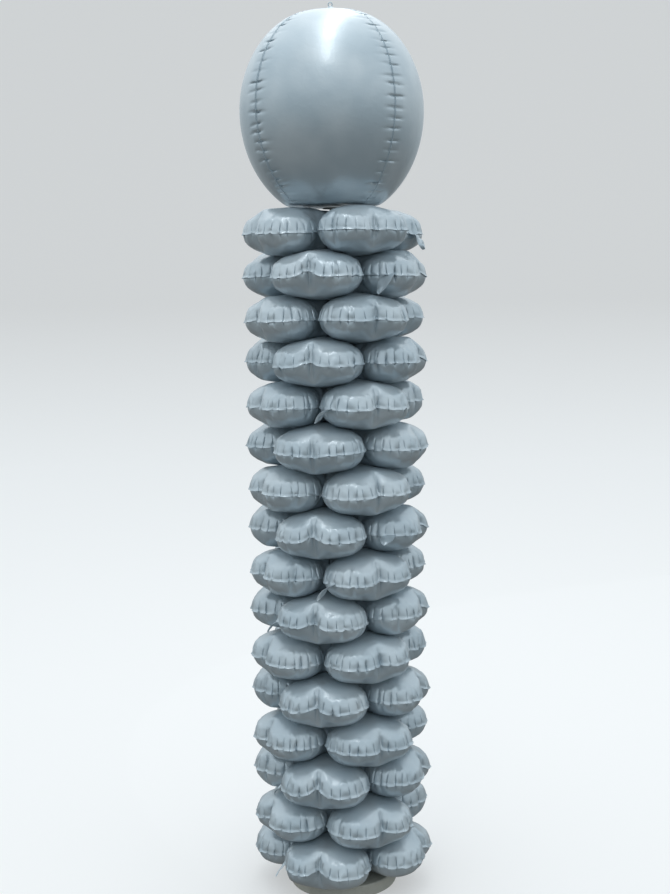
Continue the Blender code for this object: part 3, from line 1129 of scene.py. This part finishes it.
@dataclass(frozen=True)
class GlobeForm:
    """The globe's plain form, which the top layer's leaves press flat underneath."""

    radius: float = 0.2585
    upper: float = 0.286
    lower: float = 0.298
    drawn_in: float = 0.012
    shoulder: float = 0.03
    above_layer: float = 0.330
    seat: float = 0.0696

    def side_line(self) -> np.ndarray:
        """Returns radius and height along the side, from the bottom to the top."""
        angles = np.linspace(-math.pi / 2, math.pi / 2, 2001)
        rise = np.sin(angles)
        # the top is drawn in to the neck, so it is flatter than the rest
        above = self.upper * rise - self.drawn_in * rise**10
        below = -soft_limit(-self.lower * rise, np.full(len(rise), self.above_layer - self.seat), 0.006)
        radius = self.radius * np.cos(angles) * np.where(rise > 0, 1 + self.shoulder * rise**4, 1)
        return np.stack([radius, np.where(rise > 0, above, below)], 1)

    def underside(self, radius: np.ndarray) -> np.ndarray:
        """Returns how high the globe's underside is over the top layer's middle, at a radius."""
        inner = np.clip(1 - (radius / self.radius) ** 2, 0, 1)
        return np.maximum(self.above_layer - self.lower * np.sqrt(inner), self.seat) - 0.0012


def soft_limit(values: np.ndarray, limits: np.ndarray, softness: float = 0.002) -> np.ndarray:
    """Holds values under their limits, with a rounded approach.

    Args:
        values: what is held.
        limits: the most that each may be.
        softness: how early it starts to give way.

    Returns:
        The held values.
    """
    over = values - limits + softness / 2
    return values - 0.5 * (over + np.sqrt(over**2 + softness**2))


@dataclass
class BalloonStack:
    """The sixteen layers, from the floor up, each turned by half a leaf from the one below."""

    foil: bpy.types.Material
    first_height: float
    pitch: float = LAYER_PITCH
    gap: float = 0.0006
    pattern: LeafPattern = field(default_factory=LeafPattern)
    # what the photo shows of each layer, from the bottom: how far its seam rises at the notches in mm
    lifts_mm: tuple[int, ...] = (14, 4, 15, 3, 12, 5, 13, 2, 14, 4, -7, 3, 14, 5, 13, 3)
    # each layer's filling tail, from the bottom: its leaf, counted from the one nearest the camera, and its hang
    tails: tuple[FillTail, ...] = (
        FillTail(0, heading=10, droop=(40, 60), roll=25, length=0.046, width=0.016),
        FillTail(3),
        FillTail(0, heading=10, droop=(30, 70), roll=20, length=0.036, width=0.018),
        FillTail(3, heading=12),
        FillTail(2),
        FillTail(3, heading=-10, droop=(10, 60)),
        FillTail(0, heading=8, droop=(35, 60), roll=25, length=0.044, width=0.022),
        FillTail(1, heading=-12, droop=(28, 44), roll=60, length=0.064, width=0.026),
        FillTail(1, heading=-22, droop=(8, 38), roll=0, length=0.052, width=0.034),
        FillTail(3, droop=(25, 75)),
        FillTail(2, heading=-15),
        FillTail(1, heading=-12, droop=(24, 42), roll=62, length=0.062, width=0.026),
        FillTail(2, droop=(30, 90)),
        FillTail(3, heading=15),
        FillTail(1, heading=-48, droop=(30, 62), roll=8, length=0.074, width=0.038),
        FillTail(2, heading=10, droop=(25, 80), roll=-10, length=0.060, width=0.046, crumple=0.010),
    )
    layers: list[FilledLayer] = field(init=False, default_factory=list)

    def build(self) -> list[bpy.types.Object]:
        """Blows up one balloon, gives every layer its own folds, and presses them together.

        Returns:
            The layers' objects.
        """
        source = InflatedClover(self.pattern)
        source.inflate()
        edge = EdgeLine(self.pattern.outline())
        flat = [(x, y, 0.0) for x, y in source.flat]
        tree = BVHTree.FromPolygons(flat, source.triangles.tolist())
        rng = np.random.default_rng(77)
        for index in range(len(self.lifts_mm)):
            odd = index % 2
            turn = -QUARTER - (QUARTER / 2 if odd else 0)
            layer = FilledLayer(
                number=index + 1,
                height=self.first_height + index * self.pitch,
                turn=turn,
                twist=Twist(int(rng.integers(0, 4)), bool(rng.integers(0, 2))),
                lift=self.lifts_mm[index] / 1000,
                tail_form=self.tails[index],
            )
            layer.net(self.pattern, edge)
            layer.take_shape(source, tree)
            layer.crumple(edge)
            self.layers.append(layer)
        self.press()
        made = []
        for layer in self.layers:
            made.append(layer.build(self.foil))
            LOG.info("%s: %d points", layer.name, len(made[-1].data.vertices))
        return made

    def press(self) -> None:
        """Parts the films of neighbours where they would go through each other, half the way each."""
        top = self.layers[-1].sheets[Sheet.UPPER]
        top[:, 2] = soft_limit(top[:, 2], GlobeForm().underside(np.hypot(top[:, 0], top[:, 1])))
        lowest = self.layers[0].sheets[Sheet.LOWER]
        lowest[:, 2] = -soft_limit(-lowest[:, 2], np.full(len(lowest), self.layers[0].full + 0.001))
        for below, above in zip(self.layers, self.layers[1:]):
            press_together(
                below, Sheet.UPPER, above, Sheet.LOWER, above.turn - below.turn, self.pitch, self.gap
            )


def turned_flat(points: np.ndarray, angle: float) -> np.ndarray:
    """Returns points turned about the pole."""
    cosine, sine = math.cos(angle), math.sin(angle)
    return points @ np.array([[cosine, sine, 0], [-sine, cosine, 0], [0, 0, 1]])


def heights_of(
    asked: np.ndarray, points: np.ndarray, triangles: np.ndarray, side: Sheet
) -> np.ndarray:
    """Reads a film's height over or under places.

    Args:
        asked: places whose first two columns are used.
        points: the film's points.
        triangles: the film's triangles.
        side: which side of its balloon the film is on.

    Returns:
        A height for each place, or not-a-number where the film isn't.
    """
    tree = BVHTree.FromPolygons(points.tolist(), triangles.tolist())
    start = 1.0 * side.value
    way = Vector((0, 0, -side.value))
    found = np.full(len(asked), np.nan)
    for index, (x, y) in enumerate(asked[:, :2]):
        hit = tree.ray_cast(Vector((x, y, start)), way)
        if hit[0] is not None:
            found[index] = hit[0].z
    return found


def press_together(
    below: FilledLayer,
    lower_side: Sheet,
    above: FilledLayer,
    upper_side: Sheet,
    turn: float,
    rise: float,
    gap: float,
) -> None:
    """Moves two facing films apart where they overlap.

    Args:
        below: the lower balloon.
        lower_side: its film that faces up.
        above: the upper balloon.
        upper_side: its film that faces down.
        turn: how far the upper one is turned from the lower one.
        rise: how far the upper one is above the lower one.
        gap: the air that stays between them.
    """
    facing_up = below.sheets[lower_side]
    facing_down = above.sheets[upper_side]
    seen_from_below = turned_flat(facing_down, turn) + np.array([0, 0, rise])
    seen_from_above = turned_flat(facing_up, -turn) - np.array([0, 0, rise])
    over = heights_of(facing_up, seen_from_below, above.triangles, Sheet.LOWER)
    under = heights_of(facing_down, seen_from_above, below.triangles, Sheet.UPPER)
    softness = 0.002
    for points, other, way in ((facing_up, over, 1.0), (facing_down, under, -1.0)):
        overlap = np.nan_to_num((points[:, 2] - other) * way + gap, nan=-1.0)
        push = 0.5 * (overlap + np.sqrt(overlap**2 + softness**2))
        push = np.where(overlap < -0.05, 0.0, push)
        points[:, 2] -= way * 0.5 * push


@dataclass
class FoilGlobe:
    """The globe on top: four gores welded edge to edge, with tucks along every seam."""

    foil: bpy.types.Material
    centre: float
    form: GlobeForm = field(default_factory=lambda: GlobeForm())
    seam_turn: float = math.radians(-33.5)
    corner: float = 0.012
    rows: int = 236
    fin: float = 0.0036
    pleat_gap: tuple[float, float] = (0.020, 0.036)
    beside_seam: tuple[float, ...] = (0.0, 0.0007, 0.0032, 0.0068, 0.0112, 0.0165, 0.023, 0.031, 0.041, 0.053)
    spread: int = 9

    def meridian(self) -> np.ndarray:
        """Returns radius and height along the side, bottom to top, evenly spaced."""
        line = self.form.side_line()
        steps = np.concatenate([[0], np.cumsum(np.linalg.norm(np.diff(line, axis=0), axis=1))])
        even = np.linspace(0, steps[-1], self.rows)
        return np.stack([np.interp(even, steps, line[:, k]) for k in range(2)], 1)

    def column_angles(self) -> tuple[np.ndarray, np.ndarray]:
        """Returns each column's angle, and its share of the half gore from its nearest seam."""
        half = self.form.radius * math.pi / 4
        near = np.array(self.beside_seam)
        rest = np.linspace(near[-1], half, self.spread + 1)[1:]
        side = np.concatenate([near, rest]) / half
        shares = np.concatenate([side, (2 - side[:-1])[::-1]])[:-1]
        angles = np.concatenate([(shares + 2 * gore) * math.pi / 4 for gore in range(LEAVES)])
        return angles, np.tile(shares, LEAVES)

    def build(self) -> bpy.types.Object:
        """Returns the globe's object."""
        rng = np.random.default_rng(41)
        line = self.meridian()
        angles, shares = self.column_angles()
        columns = len(angles)
        rows = len(line)
        length = np.concatenate([[0], np.cumsum(np.linalg.norm(np.diff(line, axis=0), axis=1))])
        fold = np.where(shares > 1, shares - 2, shares)
        radius = line[1:-1, 0][:, None]
        height = line[1:-1, 1][:, None] * np.ones(columns)[None, :]
        beside = fold[None, :] * (math.pi / 4) * radius
        seam = (np.arange(columns) // (columns // LEAVES) + (shares > 1)).astype(int) % LEAVES
        out = 1 + self.corner * np.cos(LEAVES * angles)[None, :] * np.sin(
            math.pi * length[1:-1] / length[-1]
        )[:, None] ** 0.5
        drawn = np.zeros((rows - 2, columns))
        run = length[1:-1][:, None] * np.ones(columns)[None, :]
        for number in range(LEAVES):
            mine = np.where(seam == number)[0]
            place = 0.03
            while place < length[-1] - 0.02:
                depth = rng.uniform(0.0042, 0.0080)
                reach_left, reach_right = rng.uniform(0.030, 0.056, 2)
                slant = rng.uniform(-0.10, 0.10)
                off = run[:, mine] - place - slant * beside[:, mine]
                reach = np.where(beside[:, mine] < 0, reach_left, reach_right)
                away = np.abs(beside[:, mine])
                fade = np.clip(1 - away / reach, 0, 1)
                fade = fade**2 * (3 - 2 * fade)
                width = 0.0016 + 0.03 * away
                drawn[:, mine] += depth * np.exp(-np.abs(off) / width) * fade
                place += rng.uniform(*self.pleat_gap)
        near_seam = np.abs(beside)
        fin = self.fin * np.clip(1 - near_seam / 0.0006, 0, 1)
        puff = 0.0022 * np.exp(-(((near_seam - 0.022) / 0.018) ** 2))
        polar = np.abs(length[1:-1] / length[-1] - 0.5)[:, None] * 2
        ray = np.array([noise.noise(Vector((math.cos(a) * 5, math.sin(a) * 5, 7.7))) for a in angles])
        crimp = 0.0035 * ray[None, :] * np.exp(-(((polar - 0.90) / 0.07) ** 2))
        spot = radius * out + puff + fin - drawn + crimp
        turned = angles[None, :] + self.seam_turn - math.pi / 2
        grid = np.stack([spot * np.cos(turned), spot * np.sin(turned), height], 2)
        points = np.vstack([grid.reshape(-1, 3), [[0, 0, line[0, 1]], [0, 0, line[-1, 1]]]])
        points[:, 2] += self.centre
        faces = []
        here = np.arange(columns)
        after = (here + 1) % columns
        for row in range(rows - 3):
            low, high = row * columns, (row + 1) * columns
            faces.append(np.stack([low + here, low + after, high + after], 1))
            faces.append(np.stack([low + here, high + after, high + here], 1))
        bottom, top = len(points) - 2, len(points) - 1
        last = (rows - 3) * columns
        faces.append(np.stack([np.full(columns, bottom), after, here], 1))
        faces.append(np.stack([np.full(columns, top), last + here, last + after], 1))
        return mesh_object("globe_foil", points, np.vstack(faces), self.foil)


@dataclass
class GlobeTab:
    """The welded neck on top of the globe, with its hanging ring."""

    foil: bpy.types.Material

    def build(self) -> bpy.types.Object:
        """Returns the tab's object, a ring on a gathered foot."""
        low, high = (Vector(corner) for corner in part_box("globe_top_tab"))
        bpy.ops.object.select_all(action="DESELECT")
        bpy.ops.mesh.primitive_cone_add(
            vertices=32,
            radius1=(high.x - low.x) / 2,
            radius2=0.004,
            depth=0.012,
            location=(0, 0, low.z + 0.006),
        )
        foot = bpy.context.object
        bpy.ops.mesh.primitive_torus_add(
            major_segments=32,
            minor_segments=12,
            major_radius=0.0055,
            minor_radius=0.0016,
            location=(0, 0, high.z - 0.0072),
            rotation=(math.pi / 2, 0, VIEW_TURN),
        )
        ring = bpy.context.object
        foot.select_set(True)
        bpy.context.view_layer.objects.active = foot
        bpy.ops.object.join()
        bpy.ops.object.transform_apply(location=True, rotation=True, scale=True)
        foot.name = "globe_neck_and_ring"
        foot.data.materials.clear()
        foot.data.materials.append(self.foil)
        bpy.ops.object.shade_smooth_by_angle(angle=math.radians(50))
        return foot


@dataclass
class Stand:
    """The base, its cap, the socket, the pole and the globe's seat, which are CAD nodes in better finishes."""

    nodes: dict[str, bpy.types.Object]

    def dress(self) -> None:
        """Gives every node of the stand its finish."""
        shell = MouldedPlastic("blow_moulded_base", "a3a298", "b5b4aa", 0.55).build()
        fitting = MouldedPlastic("moulded_fitting", "b7b6b0", "c6c5bf", 0.45, 0.8).build()
        tube = DrawnAluminium().build()
        for name, node in self.nodes.items():
            if name.startswith("pole_section"):
                finish = tube
            elif name.startswith("base"):
                finish = shell
            elif name in ("pole_socket", "globe_seat"):
                finish = fitting
            else:
                continue
            for index in range(len(node.data.materials)):
                node.data.materials[index] = finish
            LOG.info("%s: %s", name, finish.name)


@dataclass
class Studio:
    """The pale floor, the soft boxes and the camera."""

    focal_px: float = 1325.0
    distance: float = 3.766
    drop: float = 0.1545
    pitch: float = math.radians(6.76)
    roll: float = math.radians(-0.90)
    aside: float = -0.0058
    top_layer: float = 1.8865
    wall_distance: float = 11.0
    wall_bend: float = 1.6

    def build(self) -> None:
        """Sets up the floor, the lights and the camera."""
        self.floor()
        self.light("bright_ceiling", (0.0, 1.95, 4.4), (0.0, 1.95, 0.0), (6.0, 3.4), 22)
        self.light("ceiling_lamp", (0.0, -0.05, 4.3), (0.0, -0.05, 0.0), (4.6, 0.30), 20)
        self.room()
        bpy.context.scene.view_settings.view_transform = "Standard"
        self.camera()

    def room(self) -> None:
        """Sets the light that comes from all round: a pale ceiling, and darker towards the floor."""
        world = bpy.data.worlds.new("pale_room")
        world.use_nodes = True
        nodes, links = world.node_tree.nodes, world.node_tree.links
        back = nodes["Background"]
        place = nodes.new("ShaderNodeTexCoord")
        split = nodes.new("ShaderNodeSeparateXYZ")
        ramp = nodes.new("ShaderNodeValToRGB")
        span = nodes.new("ShaderNodeMapRange")
        span.inputs["From Min"].default_value = -1.0
        links.new(place.outputs["Generated"], split.inputs["Vector"])
        links.new(split.outputs["Z"], span.inputs["Value"])
        links.new(span.outputs["Result"], ramp.inputs["Fac"])
        tones = ((0.34, "6e6f6e"), (0.50, "a9b2b6"), (0.70, "e8f2f8"), (1.0, "ebf4fa"))
        ramp.color_ramp.elements[0].position, first = tones[0]
        ramp.color_ramp.elements[0].color = srgb(first)
        ramp.color_ramp.elements[1].position, last = tones[-1]
        ramp.color_ramp.elements[1].color = srgb(last)
        for position, tone in tones[1:-1]:
            ramp.color_ramp.elements.new(position).color = srgb(tone)
        links.new(ramp.outputs["Color"], back.inputs["Color"])
        back.inputs["Strength"].default_value = 1.10
        bpy.context.scene.world = world

    def floor(self) -> None:
        """Adds the pale floor, whose wall stands far enough back for a camera behind the column."""
        flat_end, bend = self.wall_distance - self.wall_bend, self.wall_bend
        sweep = [(-9.0, 0.0), (flat_end, 0.0)]
        for step in range(1, 17):
            angle = math.pi / 2 * step / 16
            sweep.append((flat_end + bend * math.sin(angle), bend * (1 - math.cos(angle))))
        sweep.append((self.wall_distance, 9.0))
        turn = Matrix.Rotation(VIEW_TURN, 4, "Z")
        points = [turn @ Vector((side, along, up)) for along, up in sweep for side in (-9.0, 9.0)]
        faces = [(2 * k, 2 * k + 1, 2 * k + 3, 2 * k + 2) for k in range(len(sweep) - 1)]
        mesh = bpy.data.meshes.new("studio_sweep")
        mesh.from_pydata([point[:] for point in points], [], faces)
        mesh.shade_smooth()
        floor = bpy.data.objects.new("studio_sweep", mesh)
        bpy.context.scene.collection.objects.link(floor)
        material, shader = new_material("pale_paper_sweep")
        shader.inputs["Base Color"].default_value = srgb("c4c4c3")
        shader.inputs["Roughness"].default_value = 0.9
        shader.inputs["Emission Color"].default_value = srgb("ffffff")
        shader.inputs["Emission Strength"].default_value = 0.34
        floor.data.materials.append(material)
        # the paper stays out of the foil's reflections, which are those of a darker floor
        floor.visible_diffuse = False
        floor.visible_glossy = False

    def light(
        self,
        name: str,
        place: tuple[float, float, float],
        target: tuple[float, float, float],
        size: tuple[float, float],
        power: float,
    ) -> None:
        """Adds one soft box, placed as seen from the camera's side.

        Args:
            name: its name.
            place: where it stands, before the camera's turn.
            target: the point that it faces.
            size: its width and height.
            power: its power in watts.
        """
        data = bpy.data.lights.new(name, "AREA")
        data.shape = "RECTANGLE"
        data.size, data.size_y = size
        data.energy = power
        lamp = bpy.data.objects.new(name, data)
        spot = Matrix.Rotation(VIEW_TURN, 4, "Z") @ Vector(place)
        lamp.location = spot
        lamp.rotation_euler = (Vector(target) - spot).to_track_quat("-Z", "Y").to_euler()
        bpy.context.scene.collection.objects.link(lamp)

    def camera(self) -> None:
        """Adds the camera at the photograph's place."""
        data = bpy.data.cameras.new("photo_camera")
        data.sensor_fit = "VERTICAL"
        data.sensor_height = 36
        data.lens = self.focal_px * 36 / 894
        camera = bpy.data.objects.new("photo_camera", data)
        turn = Matrix.Rotation(VIEW_TURN, 4, "Z")
        place = turn @ Vector((self.aside, -self.distance, self.top_layer - self.drop))
        tilt = Matrix.Rotation(math.pi / 2 - self.pitch, 4, "X")
        rolled = Matrix.Rotation(self.roll, 4, "Z")
        camera.matrix_world = Matrix.Translation(place) @ turn @ tilt @ rolled
        bpy.context.scene.collection.objects.link(camera)
        bpy.context.scene.camera = camera


def main() -> None:
    """Builds and dresses the whole column."""
    logging.basicConfig(level=logging.INFO, format="%(name)s: %(message)s")
    started = time.time()
    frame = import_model()
    foil = PearlFoil().build()
    low, high = (Vector(corner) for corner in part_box("clover_01"))
    first_height = (low.z + high.z) / 2
    stack = BalloonStack(foil, first_height)
    for layer, made in zip(range(1, 17), stack.build()):
        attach(made, ROOT)
        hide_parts(f"clover_{layer:02d}")
    LOG.info("layers done at %.0f s", time.time() - started)
    top_height = first_height + 15 * LAYER_PITCH
    globe = FoilGlobe(foil, top_height + 0.330).build()
    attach(globe, ROOT)
    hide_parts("globe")
    tab = GlobeTab(foil).build()
    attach(tab, ROOT)
    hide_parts("globe_top_tab")
    Stand(frame["nodes"]).dress()
    Studio().build()
    LOG.info("all done at %.0f s", time.time() - started)


if __name__ == "__main__":
    main()
